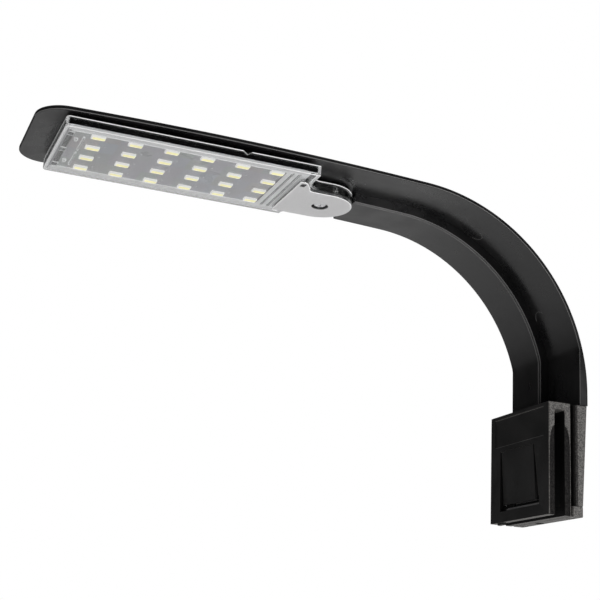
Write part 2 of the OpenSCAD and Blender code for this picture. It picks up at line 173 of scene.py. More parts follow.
def finished(mesh):
    """Smooth shading that keeps flat faces flat."""
    mesh.shade_smooth()
    mesh.set_sharp_from_angle(angle=math.radians(SHARP))
    holder = new_object(mesh.name, mesh)
    holder.modifiers.new("normals", "WEIGHTED_NORMAL").keep_sharp = True
    return baked(holder)


def carved(mesh, cutters):
    """The mesh less each cutter mesh."""
    holder = new_object(mesh.name, mesh)
    tools = []
    for i, shape in enumerate(cutters):
        tool = new_object(f"cutter_{i}", shape)
        cut = holder.modifiers.new(f"cut_{i}", "BOOLEAN")
        cut.operation = "DIFFERENCE"
        cut.solver = "EXACT"
        cut.object = tool
        tools.append(tool)
    result = baked(holder)
    for tool in tools:
        bpy.data.objects.remove(tool)
    return finished(result)


def cutter(loop, low, high, place):
    """A plain prism used to carve."""
    build = Builder()
    build.stack([[place(u, v, w) for u, v in loop] for w in (low, high)])
    return build.bare("cutter")


def drill(centre, radius, low, high, place, count=24):
    """A cylinder used to carve a hole."""
    return cutter(circle(centre, radius, count), low, high, place)


def join(meshes, name):
    """Several meshes as one."""
    bm = bmesh.new()
    for mesh in meshes:
        bm.from_mesh(mesh)
    joined = bpy.data.meshes.new(name)
    bm.to_mesh(joined)
    bm.free()
    return finished(joined)


def add_piece(name, mesh, node, materials):
    """A piece that stands for a CAD node and rides on its body."""
    piece = new_object(name, mesh)
    for material in materials:
        mesh.materials.append(material)
    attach(piece, frame["nodes"][node]["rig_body"])
    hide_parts(node)
    return piece


def upright(u, v, w):
    """Outline in X and Y, height along Z."""
    return (u, v, w)


def sideways(u, v, w):
    """Outline in X and Z, drawn out along Y."""
    return (u, w, v)


def facing_x(u, v, w):
    """Outline in Y and Z, drawn out along X."""
    return (w, u, v)


def box_mm(node):
    """A node's lowest and highest corner in millimetres."""
    low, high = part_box(node)
    return Vector(low) / MM, Vector(high) / MM


# -------- materials

PATCH_MM = 14  # size of the slow changes of tone on mouldings
BOARD_LAND_MM = (7.6, 11.5)  # copper land of one LED on the board


class Tree:
    """Short words for building one material's nodes."""

    def __init__(self, name):
        self.material = bpy.data.materials.new(name)
        self.material.use_nodes = True
        self.nodes = self.material.node_tree.nodes
        self.links = self.material.node_tree.links
        self.shader = self.nodes["Principled BSDF"]
        self.place = self.nodes.new("ShaderNodeTexCoord").outputs["Object"]

    def link(self, output, socket):
        self.links.new(output, socket)

    def feed(self, name, output):
        """Links an output to the shader's input of that name."""
        self.link(output, self.shader.inputs[name])

    def noise(self, size_mm, detail=2.0, stretch=None):
        """Noise with lumps of about size_mm, drawn out along an axis by stretch."""
        node = self.nodes.new("ShaderNodeTexNoise")
        node.inputs["Scale"].default_value = 1 / (size_mm * MM)
        node.inputs["Detail"].default_value = detail
        place = self.place
        if stretch:
            mapping = self.nodes.new("ShaderNodeMapping")
            mapping.inputs["Scale"].default_value = stretch
            self.link(place, mapping.inputs["Vector"])
            place = mapping.outputs["Vector"]
        self.link(place, node.inputs["Vector"])
        return node.outputs["Fac"]

    def ramp(self, value, low, high, colour_low, colour_high):
        """Colours between two, as value goes from low to high."""
        node = self.nodes.new("ShaderNodeValToRGB")
        for stop, at, colour in zip(node.color_ramp.elements, (low, high), (colour_low, colour_high)):
            stop.position = at
            stop.color = (*colour, 1)
        self.link(value, node.inputs["Fac"])
        return node.outputs["Color"]

    def span(self, value, from_low, from_high, low, high):
        """A value from one range brought into another."""
        node = self.nodes.new("ShaderNodeMapRange")
        limits = {"From Min": from_low, "From Max": from_high, "To Min": low, "To Max": high}
        for key, number in limits.items():
            node.inputs[key].default_value = number
        self.link(value, node.inputs["Value"])
        return node.outputs["Result"]

    def bump(self, value, height_mm):
        node = self.nodes.new("ShaderNodeBump")
        node.inputs["Distance"].default_value = height_mm * MM
        self.link(value, node.inputs["Height"])
        return node.outputs["Normal"]

    def set(self, **values):
        for key, value in values.items():
            self.shader.inputs[key.replace("_", " ")].default_value = value


def moulded(name, dark, light, rough, grain_mm, grain_height, rough_spread=0.08, specular=0.5):
    """Moulded plastic: fine grain, and slow changes of gloss and tone."""
    t = Tree(name)
    patches = t.noise(PATCH_MM, 3)
    roughness = t.span(patches, 0.3, 0.7, rough - rough_spread, rough + rough_spread)
    t.feed("Base Color", t.ramp(patches, 0.3, 0.7, dark, light))
    t.feed("Roughness", roughness)
    t.feed("Normal", t.bump(t.noise(grain_mm, 2), grain_height))
    t.set(Specular_IOR_Level=specular)
    return t.material


def eroded(name, dark, light, rough, speck_mm, specular=0.5):
    """Spark-eroded plastic: a matt, pitted skin, with grey specks painted in as glints of light on its pits.
    """
    t = Tree(name)
    specks = t.noise(speck_mm, 4)
    # painted glints: the light end of the ramp gives the grey specks
    t.feed("Base Color", t.ramp(specks, 0.38, 0.66, dark, light))
    t.feed("Roughness", t.span(specks, 0.3, 0.7, rough + 0.1, rough - 0.1))
    t.feed("Normal", t.bump(specks, 0.06))
    t.set(Specular_IOR_Level=specular)
    return t.material


def metal(name, colour, rough, brush_mm):
    """Metal with fine streaks of tone and gloss."""
    t = Tree(name)
    t.set(Metallic=1.0)
    brushing = t.noise(brush_mm, 3, stretch=(1, 1, 0.2))
    light = [min(1, c * 1.1) for c in colour]
    t.feed("Base Color", t.ramp(brushing, 0.3, 0.7, [c * 0.85 for c in colour], light))
    t.feed("Roughness", t.span(brushing, 0.3, 0.7, rough * 0.7, rough * 1.3))
    return t.material


def clear(name, tint, rough):
    """Clear moulded plastic with faint flow ripples."""
    t = Tree(name)
    t.set(Transmission_Weight=1.0, IOR=1.49)
    flow = t.noise(9, 2, stretch=(0.4, 1, 1))
    t.feed("Base Color", t.ramp(flow, 0.3, 0.7, tint, [min(1, c * 1.02) for c in tint]))
    t.feed("Roughness", t.span(flow, 0.3, 0.7, rough * 0.8, rough * 1.2))
    t.feed("Normal", t.bump(flow, 0.01))
    return t.material


def milky(name, dark, light, rough, through, painted_glow=0.0):
    """Plastic that scatters light and lets some through, with a faint white glow of its own as painted
    light.
    """
    t = Tree(name)
    t.set(Transmission_Weight=through, IOR=1.49, Emission_Color=(1, 1, 1, 1), Emission_Strength=painted_glow)
    grain = t.noise(0.6, 3)
    t.feed("Base Color", t.ramp(grain, 0.3, 0.7, dark, light))
    t.feed("Roughness", t.span(grain, 0.3, 0.7, rough * 0.8, rough * 1.2))
    t.feed("Normal", t.bump(grain, 0.01))
    return t.material


def board_material(name):
    """Solder mask over a grid of copper lands, each of a slightly different tone."""
    t = Tree(name)
    cells = t.nodes.new("ShaderNodeMapping")
    cells.inputs["Scale"].default_value = (1 / (BOARD_LAND_MM[0] * MM), 1 / (BOARD_LAND_MM[1] * MM), 1)
    t.link(t.place, cells.inputs["Vector"])
    floor = t.nodes.new("ShaderNodeVectorMath")
    floor.operation = "FLOOR"
    t.link(cells.outputs["Vector"], floor.inputs[0])
    pick = t.nodes.new("ShaderNodeTexWhiteNoise")
    t.link(floor.outputs["Vector"], pick.inputs["Vector"])
    tone = t.nodes.new("ShaderNodeValToRGB")
    stops = tone.color_ramp.elements
    stops[0].color = (0.47, 0.425, 0.44, 1)
    stops[1].color = (0.44, 0.465, 0.525, 1)
    for at, colour in ((0.33, (0.40, 0.44, 0.42, 1)), (0.66, (0.45, 0.42, 0.47, 1))):
        stops.new(at).color = colour
    t.link(pick.outputs["Value"], tone.inputs["Fac"])
    t.feed("Base Color", tone.outputs["Color"])
    t.feed("Roughness", t.span(t.noise(10, 2), 0.3, 0.7, 0.25, 0.4))
    return t.material


def painted_glow_material(name, dark, light, strength, grain_mm):
    """A surface with a painted glow, light of its own colour."""
    t = Tree(name)
    tone = t.ramp(t.noise(grain_mm, 2), 0.3, 0.7, dark, light)
    t.feed("Base Color", tone)
    t.feed("Emission Color", tone)
    t.set(Emission_Strength=strength, Roughness=0.5)
    return t.material


SATIN = moulded("satin_black", (0.008, 0.008, 0.0085), (0.013, 0.0125, 0.013), 0.3, 0.35, 0.004)
COVER = moulded("cover_black", (0.011, 0.0105, 0.011), (0.017, 0.0165, 0.017), 0.34, 0.35, 0.004)
FRONT = moulded("clip_front_black", (0.008, 0.008, 0.008), (0.012, 0.0115, 0.0115), 0.5, 0.25, 0.01)
# painted glints: the light grey specks stand in for light caught by the pits
ERODED = eroded("eroded_black", (0.04, 0.038, 0.036), (0.21, 0.2, 0.19), 0.6, 0.45)
GLOSS = moulded("gloss_black", (0.003, 0.003, 0.003), (0.005, 0.005, 0.005), 0.12, 1.2, 0.002,
                rough_spread=0.03, specular=0.3)
RUBBER = moulded("rubber", (0.006, 0.006, 0.006), (0.012, 0.012, 0.012), 0.75, 0.2, 0.02, specular=0.2)
PVC = moulded("lead_pvc", (0.05, 0.05, 0.055), (0.08, 0.08, 0.085), 0.5, 0.4, 0.01)
ACETAL = moulded("acetal", (0.02, 0.02, 0.02), (0.035, 0.035, 0.035), 0.4, 0.3, 0.006)
SILICONE = moulded("silicone", (0.5, 0.5, 0.52), (0.62, 0.62, 0.64), 0.55, 0.3, 0.01)
CHIP = moulded("resistor_body", (0.02, 0.02, 0.02), (0.04, 0.04, 0.04), 0.5, 0.2, 0.01)
# painted glow: the LED bodies and phosphor are brightened by a faint light of their own
LED_WHITE = painted_glow_material("led_white", (0.82, 0.81, 0.78), (0.9, 0.89, 0.87), 0.55, 0.6)
PHOSPHOR = painted_glow_material("led_phosphor", (1.0, 0.88, 0.33), (1.0, 0.95, 0.5), 0.6, 0.35)
BOARD = board_material("board_mask")
CHROME = metal("screw_plating", (0.85, 0.85, 0.86), 0.42, 0.8)
STEEL = metal("washer_steel", (0.55, 0.55, 0.57), 0.3, 0.4)
BRASS = metal("brass", (0.75, 0.55, 0.25), 0.25, 0.5)
SOLDER = metal("solder", (0.72, 0.72, 0.75), 0.3, 0.3)
CLEAR = clear("clear_plastic", (0.97, 0.98, 0.985), 0.04)
FROSTED = milky("frosted_plastic", (0.78, 0.775, 0.78), (0.86, 0.855, 0.86), 0.5, 0.2)
# painted light: whitish, faintly glowing patches where light comes through the beads and ridges
PAINTED_LIGHT_PATCH = milky("painted_light_patch", (0.8, 0.8, 0.81), (0.9, 0.9, 0.9), 0.5, 0.08, 0.13)
# painted highlight: near-white, faintly glowing clear plastic for the bright lines on rims, rounded edges
# and ridge sides
CLEAR_EDGE_HIGHLIGHT = milky("clear_edge_painted_highlight", (0.93, 0.935, 0.94), (0.99, 0.99, 0.99), 0.15, 0.12, 0.2)
# painted highlight: a light grey for thin lines on rounded edges, wall tips and ejector marks, standing in
# for light they catch
PAINTED_HIGHLIGHT = moulded("painted_highlight_black", (0.11, 0.108, 0.108), (0.18, 0.176, 0.174), 0.35, 0.3, 0.006)
# painted shade: darker copies of the eroded black for faces in shadow on the clip
SHADED = eroded("eroded_painted_shade", (0.004, 0.004, 0.004), (0.03, 0.028, 0.027), 0.75, 0.45, specular=0.12)
HALF_SHADED = eroded("eroded_painted_half_shade", (0.015, 0.0145, 0.014), (0.085, 0.08, 0.077), 0.68, 0.45,
                     specular=0.25)
# painted shadow: near black for the slot, the groove and the tongue's sides
SHADOW_BLACK = moulded("painted_shadow_black", (0.003, 0.003, 0.003), (0.006, 0.006, 0.006), 0.6, 0.25, 0.01, specular=0.2)


# -------- arm

ARM_LOW, ARM_HIGH = box_mm("arm_shell")
CLIP_LOW, CLIP_HIGH = box_mm("clip_body")
LAMP_LOW, LAMP_HIGH = box_mm("lamp_housing")
PIVOT = [c / MM for c in next(j for j in frame["joints"] if j["name"] == "lamp_swing")["pos_m"]]
ELBOW_R = 82.75  # elbow's outer face
ELBOW = (ARM_LOW.x + ELBOW_R, 8.5)
HEAD_A = 92.8  # angle in degrees at which the elbow meets the head
HEAD_R = 2000  # head's slight crown
HEAD_C = (ELBOW[0] + (ELBOW_R - HEAD_R) * math.cos(math.radians(HEAD_A)),
          ELBOW[1] + (ELBOW_R - HEAD_R) * math.sin(math.radians(HEAD_A)))
PLATE_T = 1.8  # plate, along the elbow and head
PLATE_BACK_T = 4.1  # plate, up the back
TIP_R = 12
FAR_LOW = -25.4  # Y of the far edge beside the clip
FLARE_X = 120  # where the far edge stops flaring
CHANNEL_FAR = -24.5  # far side of the cable channel
WALL_T = 1.3
WALL_H = 4.2
WALL_ROOT = PLATE_T - 0.6  # the walls start inside the plate
COVER_T = 1.4
COVER_GAP = 0.4  # seam between the near wall and the cover
CHANNEL_END_X = box_mm("channel_cover")[1].x
BRIDGE_Z = CLIP_HIGH.z
TENON_X = (-12.1, -9.85)  # tenon that the arm stands on inside the foot
TENON_HALF = 13.8
TENON_LOW = -24


def far_edge(x):
    """Y of the plate's far edge: parallel beside the clip, then flaring out along the head."""
    return FAR_LOW + (ARM_LOW.y - FAR_LOW) * min(1, max(0, x / FLARE_X))


def on_path(station, depth, clamp_x):
    """XZ of a point at a depth inside the arm's outer face; clamp_x is that surface's X up the back."""
    kind, value = station
    if kind == "back":
        return (clamp_x, value)
    a = math.radians(value)
    if kind == "elbow":
        radius = ELBOW_R - depth
        if math.cos(a) < 0:
            radius = min(radius, (ELBOW[0] - clamp_x) / -math.cos(a))
        return (ELBOW[0] + radius * math.cos(a), ELBOW[1] + radius * math.sin(a))
    return (HEAD_C[0] + (HEAD_R - depth) * math.cos(a), HEAD_C[1] + (HEAD_R - depth) * math.sin(a))


def head_angle(x):
    """Angle on the head's arc, in degrees, at which its outer face reaches x."""
    return math.degrees(math.acos((x - HEAD_C[0]) / HEAD_R))


def stations(end_x, steps=64):
    """Stations up the back, round the elbow and, about every 4 mm, out along the head to end_x."""
    result = [("back", BRIDGE_Z)]
    for i in range(steps + 1):
        result.append(("elbow", 180 + (HEAD_A - 180) * i / steps))
    count = max(2, round((end_x - ELBOW[0]) / 4))
    stop = head_angle(end_x)
    for i in range(1, count + 1):
        result.append(("head", HEAD_A + (stop - HEAD_A) * i / count))
    return result


def arm_point(station, y, depth):
    """A point of the plate, where depth runs from 0 at the outer face to 1 at the inner face."""
    x0, z0 = on_path(station, 0, ARM_LOW.x)
    x1, z1 = on_path(station, PLATE_T, ARM_LOW.x + PLATE_BACK_T)
    return (x0 + (x1 - x0) * depth, y, z0 + (z1 - z0) * depth)


def thickness(station):
    """Thickness of the plate at a station."""
    x0, z0 = on_path(station, 0, ARM_LOW.x)
    x1, z1 = on_path(station, PLATE_T, ARM_LOW.x + PLATE_BACK_T)
    return math.hypot(x1 - x0, z1 - z0)


HIGHLIGHT_LEVELS = (7, 8)  # strips of the near rim's inner rounding that get the painted highlight
HIGHLIGHT_SIDES = (10, 11, 12, 13, 15, 16, 17, 18)  # sides of a band's rounded inner corners, which get the painted highlight


def plate(build, edge=0.5):
    """The arm's plate: straight near edge, flaring far edge, round tip corners, rounded rim."""
    straight = stations(ARM_HIGH.x - TIP_R)
    corner = [math.radians(90 * (1 - i / 16)) for i in range(1, 17)]
    near_c, far_c = ARM_HIGH.y - TIP_R, ARM_LOW.y + TIP_R

    def rim(cut):
        """The rim moved inwards by cut: (station, y) from the near foot round the tip to the far foot."""
        near = [(s, ARM_HIGH.y - cut) for s in straight]
        far = [(s, far_edge(on_path(s, 0, ARM_LOW.x)[0]) + cut) for s in straight]
        for a in corner:
            s = ("head", head_angle(ARM_HIGH.x - TIP_R + (TIP_R - cut) * math.cos(a)))
            near.append((s, near_c + (TIP_R - cut) * math.sin(a)))
            far.append((s, far_c - (TIP_R - cut) * math.sin(a)))
        return near + far[::-1]

    rows = []
    for side in (0, 1):
        profile = quarter(edge, 5)
        for cut, rise in profile if side == 0 else reversed(profile):
            row = []
            for station, y in rim(cut):
                depth = rise / thickness(station)
                point = arm_point(station, y, depth if side == 0 else 1 - depth)
                row.append(build.bm.verts.new(Vector(point) * MM))
            rows.append(row)
    faces = []
    last = len(rows[0]) - 1
    for level, (low, high) in enumerate(zip(rows, rows[1:])):
        for i in range(last):
            faces.append(build.bm.faces.new((low[i], low[i + 1], high[i + 1], high[i])))
            # these strips of the near rim get the painted highlight
            if level in HIGHLIGHT_LEVELS and i < last // 2:
                faces[-1].material_index = 1
    for row in (rows[0], rows[-1]):
        for i in range(last // 2):
            corners = (row[i], row[i + 1], row[last - i - 1], row[last - i])
            faces.append(build.bm.faces.new(corners if row[i + 1] is not row[last - i - 1] else corners[:3]))
    faces.append(build.bm.faces.new([row[0] for row in rows] + [row[last] for row in reversed(rows)]))
    bmesh.ops.recalc_face_normals(build.bm, faces=faces)


def band(build, y0, y1, low, high, end_x, edge):
    """A rib along the arm's inside from depth low to high and y0 to y1, with rounded edges and end."""
    back = ARM_LOW.x + PLATE_BACK_T - PLATE_T
    rounded_loop = []
    for corner_y, corner_d, start in ((y0 + edge, low + edge, 180), (y1 - edge, low + edge, 270),
                                      (y1 - edge, high - edge, 0), (y0 + edge, high - edge, 90)):
        rounded_loop += arc((corner_y, corner_d), edge, start, start + 90, 4)

    def ring(station, loop):
        """The band's cross-section at a station."""
        places = [on_path(station, depth, back + depth) for _, depth in loop]
        return [(x, y, z) for (x, z), (y, _) in zip(places, loop)]

    path = stations(end_x - edge)
    rings = [ring(station, rounded_loop) for station in path]
    for cut, rise in reversed(quarter(edge)[:-1]):
        rings.append(ring(("head", head_angle(end_x - rise)), inset(rounded_loop, cut)))
    faces = build.stack(rings)
    # the band's rounded inner corners get the painted highlight
    for i, face in enumerate(faces[:len(path) * len(rounded_loop)]):
        if i % len(rounded_loop) in HIGHLIGHT_SIDES:
            face.material_index = 1


def ejector_mark(build, station_a, y, radius, start, end, tube=0.13):
    """A thin raised part-circle left on the plate's inner face by an ejector pin."""
    x, z = on_path(("elbow", station_a), PLATE_T, ARM_LOW.x + PLATE_BACK_T)
    a = math.radians(station_a)
    inward = Vector((-math.cos(a), 0, -math.sin(a)))
    along = Vector((math.sin(a), 0, -math.cos(a)))
    across = Vector((0, 1, 0))
    centre = Vector((x, y, z))
    rings = []
    steps = 28
    for i in range(steps + 1):
        t = math.radians(start + (end - start) * i / steps)
        out = along * math.cos(t) + across * math.sin(t)
        middle = centre + out * radius
        size = tube * min(1, 6 * min(i, steps - i) / steps + 0.15)
        rings.append([tuple(middle + (out * math.cos(b) + inward * math.sin(b)) * size)
                      for b in [2 * math.pi * k / 8 for k in range(8)]])
    # the mark is painted with the light highlight tone
    for face in build.stack(rings):
        face.material_index = 1


def boss(build, inner=5.2, outer=7.5, edge=0.3):
    """The boss under the head that the lamp turns against."""
    low = LAMP_HIGH.z + 0.4
    top = on_path(("head", head_angle(PIVOT[0])), PLATE_T, 0)[1] + 0.4
    build.lathe([(inner, low + edge), (inner + edge, low), (outer - edge, low), (outer, low + edge),
                 (outer, top), (inner, top)], PIVOT)


def make_arm():
    """Plate, channel walls, pivot boss, ejector marks and the tenon in the foot."""
    build = Builder()
    plate(build)
    wall_tip = PLATE_T + WALL_H
    far_tip = wall_tip - COVER_T - 0.05
    band(build, -WALL_T, 0, WALL_ROOT, wall_tip, CHANNEL_END_X, 0.28)
    band(build, CHANNEL_FAR, CHANNEL_FAR + WALL_T, WALL_ROOT, far_tip, CHANNEL_END_X, 0.2)
    boss(build)
    ejector_mark(build, 118, 4.2, 3.4, 95, 268)
    ejector_mark(build, 153, 4.4, 3.6, -100, 60)
    tenon = box(TENON_X[0], -TENON_HALF, TENON_X[1], TENON_HALF)
    build.prism(tenon, TENON_LOW, BRIDGE_Z + 0.5, 0.3, upright)
    add_piece("arm_moulding", build.mesh("arm_moulding"), "arm_shell", [SATIN, PAINTED_HIGHLIGHT])


def make_cover():
    """The snap-in cover, with its rounded near edge beside the channel wall and two ribs under it."""
    build = Builder()
    top = PLATE_T + WALL_H
    under = top - COVER_T
    near = -WALL_T - COVER_GAP
    rib_t = 0.9
    band(build, CHANNEL_FAR, near, under, top, CHANNEL_END_X, 0.35)
    for y in (near - rib_t, CHANNEL_FAR + WALL_T + 0.1):
        band(build, y, y + rib_t, under - 1.2, under + 0.2, CHANNEL_END_X - 4, 0.2)
    add_piece("channel_cover_moulding", build.mesh("channel_cover_moulding"), "channel_cover",
              [COVER, PAINTED_HIGHLIGHT])


# -------- clip

SLOT_HALF = 2.5  # half the width of the slot for the glass
FRONT_X = 5.4  # front face
BACK_X = -5.3  # back of the back leg
FOOT_X = -6.9  # front of the foot
CLIP_BOTTOM = -45
FOOT_BOTTOM = -40.5  # where the end cap starts
TONGUE_Z = (-13.5, -37.5)  # root and free end
TONGUE_Y = (-15.1, 11.9)
TONGUE_GAP = 0.8
LEG_STEP = 0.35  # how far the legs' near ends step back below the shoulder


def clip_profile():
    """XZ outline of the two legs and their bridge, with rounded corners at the slot's roof."""
    left = [(-SLOT_HALF, CLIP_BOTTOM), (-SLOT_HALF, -1.2), (-SLOT_HALF + 0.35, -0.35), (-SLOT_HALF + 1.2, 0)]
    right = [(-x, z) for x, z in reversed(left)]
    front = [(FRONT_X, CLIP_BOTTOM), (FRONT_X, BRIDGE_Z)]
    return [(BACK_X, CLIP_BOTTOM)] + left + right + front + [(BACK_X, BRIDGE_Z)]


def window_cuts():
    """The cuts round the tongue: open window, blind far lower corner and notch, flared lower edge."""
    y0, y1 = TONGUE_Y[0] - TONGUE_GAP, TONGUE_Y[1] + TONGUE_GAP
    z0, z1 = TONGUE_Z[1] - 1.5, TONGUE_Z[0]
    ledge_y = y0 + 5.4
    inside, outside = SLOT_HALF - 0.5, FRONT_X + 1
    window = [(y0, z0 + 1.4), (-7, z0 + 1.4), (-7, z0), (y1 + 3.9, z0), (y1 - 0.3, z1), (y0, z1)]
    blind = box(y0, z0, -6.9, z0 + 1.45)
    notch = box(y0, z0 - 1.3, ledge_y, z0 + 1)
    ledge = box(ledge_y, z0 - 0.2, y1 + 3, z0 + 2)
    return [cutter(window, inside, outside, facing_x),
            cutter(blind, FRONT_X - 2.2, outside, facing_x),
            cutter(notch, FRONT_X - 1.4, outside, facing_x),
            flared(ledge, 0.9, 0.9)]


def panel_cuts():
    """The shallow panel on the front face and the bed of the pad in the slot."""
    pad = box(-20, -41, 20, -5)
    return [flared(box(-20.5, -11, 20, 1.2), 0.3, 0.3),
            cutter(pad, -SLOT_HALF - 0.8, -SLOT_HALF + 0.3, facing_x)]


def shoulder_cuts():
    """The legs' near ends step back below a curved shoulder."""
    cuts = []
    for inner, outer in ((SLOT_HALF - 0.2, FRONT_X - 0.35), (-SLOT_HALF + 0.2, BACK_X + 0.35)):
        loop = [(inner, CLIP_BOTTOM - 1), (outer, CLIP_BOTTOM - 1)]
        loop += [(outer + (inner - outer) * (1 - math.cos(t)), -16 + 9 * math.sin(t))
                 for t in [math.radians(90 * i / 10) for i in range(11)]]
        if inner > 0:
            loop = loop[::-1]
        cuts.append(cutter(loop, CLIP_HIGH.y - LEG_STEP, CLIP_HIGH.y + 1, sideways))
    return cuts


def screw_holes():
    """Counterbores and holes in the foot's back for the two screws that hold the arm."""
    holes = []
    for y in (-9, 9):
        holes.append(drill((y, -9), 2.5, ARM_LOW.x - 1, ARM_LOW.x + 1, facing_x))
        holes.append(drill((y, -9), 1.3, ARM_LOW.x, ARM_LOW.x + 5, facing_x))
    return holes


def clip_tone(x, y, normal):
    """Which of the clip's tones a face takes, from its middle in millimetres and its normal; three darker
    tones are painted shade, one lighter tone a painted highlight.
    """
    plain, rough, shaded, highlight, dark, half_shaded = range(6)
    half = CLIP_HIGH.y
    on_foot = x < FOOT_X + 0.05
    # painted shade on the legs' stepped-back near ends below the shoulder
    if x > BACK_X and abs(normal.y) > 0.9 and half - 0.5 < y < half - 0.3:
        return shaded
    # graded painted shade on the foot's front rounding, darker the more it faces the groove
    if on_foot and normal.x > 0.85:
        return dark
    if on_foot and normal.x > 0.6:
        return shaded
    if on_foot and normal.x > 0.15:
        return half_shaded
    if on_foot or abs(y) > half - 0.3 or normal.z < -0.6:
        return rough
    # painted highlight on the front face's flared edges
    if x > FRONT_X - 1 and 0.2 < normal.x < 0.95 and abs(normal.y) < 0.3:
        return highlight
    # painted shadow inside the slot, the groove and the web
    if FOOT_X < x < FRONT_X - 0.5 and abs(y) < half - 0.3:
        return dark
    return plain


def make_clip():
    """Legs and bridge with the tongue's window, and behind them the foot on its web."""
    half = CLIP_HIGH.y
    build = Builder()
    build.prism(clip_profile(), -half, half, 0.3, sideways)
    nub = box(3.3, -19, 4.9, -14)
    build.prism(nub, CLIP_LOW.z, CLIP_BOTTOM + 0.3, 0.3, upright)
    body = carved(build.mesh("clip_moulding"), window_cuts() + panel_cuts() + shoulder_cuts())
    foot = Builder()
    foot_shell(foot, FOOT_BOTTOM, BRIDGE_Z, half)
    foot_mesh = carved(foot.mesh("foot"), screw_holes())
    web = Builder()
    end = half - 3
    loop = box(FOOT_X - 0.4, -end, BACK_X + 0.2, end)
    web.prism(loop, FOOT_BOTTOM, BRIDGE_Z - 1, 0.2, upright)
    joined = join([body, foot_mesh, web.mesh("web")], "clip_moulding")
    tones = [FRONT, ERODED, SHADED, PAINTED_HIGHLIGHT, SHADOW_BLACK, HALF_SHADED]
    add_piece("clip_moulding", joined, "clip_body", tones)
    for face in joined.polygons:
        face.material_index = clip_tone(face.center.x / MM, face.center.y / MM, face.normal)


def flared(loop, deep, flare):
    """Cutter into the clip's front face, wider by flare at the face than at its floor."""
    build = Builder()
    rings = [(0, FRONT_X - deep), (-flare, FRONT_X), (-flare, FRONT_X + 1)]
    build.stack([[facing_x(u, v, x) for u, v in inset(loop, cut)] for cut, x in rings])
    return build.bare("flared")


def foot_back(z):
    """X of the foot's sloping back."""
    return ARM_LOW.x + 2.6 * (BRIDGE_Z - z) / (BRIDGE_Z - CLIP_BOTTOM)


def foot_shell(build, low, high, half, edge=0.4):
    """The foot: rounded front corners, sloping back, rounded ends."""
    front, rear = 2.4, 0.9

    def loop(z, cut):
        """The foot's outline at a height, moved inwards by cut."""
        back = foot_back(z)
        points = arc((FOOT_X - front, -half + front), front, -90, 0, 8)
        points += arc((FOOT_X - front, half - front), front, 0, 90, 8)
        points += arc((back + rear, half - rear), rear, 90, 180, 5)
        points += arc((back + rear, -half + rear), rear, 180, 270, 5)
        return [(x, y, z) for x, y in inset(points, cut)]

    rings = [loop(low + rise, cut) for cut, rise in quarter(edge)]
    rings += [loop(high - rise, cut) for cut, rise in reversed(quarter(edge))]
    return build.stack(rings)


def make_tongue():
    """The sprung tongue: rounded edges, round root, leaning into the slot."""
    root_z, end_z = TONGUE_Z
    root_x = 3.85
    lean, thick = 1.25, 2.0
    profile = [(FRONT_X - lean - thick, end_z), (FRONT_X - lean, end_z), (FRONT_X, root_z - 0.25),
               (root_x, root_z + 0.2), (root_x - 0.8, root_z - 0.25)]
    build = Builder()
    build.prism(profile, TONGUE_Y[0], TONGUE_Y[1], 0.25, sideways)
    build.prism(circle((root_x, root_z), 0.98), TONGUE_Y[0], TONGUE_Y[1], 0.2, sideways)
    mesh = build.mesh("tongue_moulding")
    add_piece("tongue_moulding", mesh, "clip_tongue", [FRONT, SHADOW_BLACK])
    # painted shadow: the tongue's sides and back take the near black
    for face in mesh.polygons:
        if abs(face.normal.y) > 0.5 or face.normal.x < -0.5:
            face.material_index = 1


def make_end_cap():
    """The cap under the foot, with the cord's hole and two counterbored screw holes."""
    low, high = box_mm("foot_end_cap")
    front = -6.15
    outline = rounded_bar(low.x, -high.y, front, high.y, 0.8)
    build = Builder()
    build.prism(outline, low.z, FOOT_BOTTOM - 0.02, 0.35, upright)
    body = build.mesh("end_cap")
    cord_x, screw_x = -8.8, -9.1
    holes = [drill((cord_x, PIVOT[1]), 2.0, low.z - 1, FOOT_BOTTOM + 0.5, upright)]
    for y in (-19, 19):
        holes.append(drill((screw_x, y), 1.7, low.z - 1, low.z + 1.3, upright))
        holes.append(drill((screw_x, y), 1.0, low.z, FOOT_BOTTOM + 0.5, upright))
    add_piece("end_cap_moulding", carved(body, holes), "foot_end_cap", [ERODED])


# -------- lamp

TRAY_X0 = PIVOT[0] + 11.5
TRAY_X1 = LAMP_HIGH.x
TRAY_Y = (LAMP_LOW.y, LAMP_HIGH.y)
TRAY_Z = (84.75, LAMP_HIGH.z)
TRAY_WALL = 1.2
TRAY_FLOOR = 1.0
LUG_R = 14
LUG_Z = LAMP_LOW.z
RECESS_R = 3.7  # recess of the screw's head
BLEND_R = 6.5  # between the tray's end and the round lug
HIGHLIGHT_STRIP = 0.55  # height of the painted highlight strips at the rim and at the floor's edge
FROST, EDGE_HIGHLIGHT, PAINTED_LIGHT_SLOT = 1, 2, 3  # places of FROSTED, the painted edge highlight and the painted light patches in the tray's list


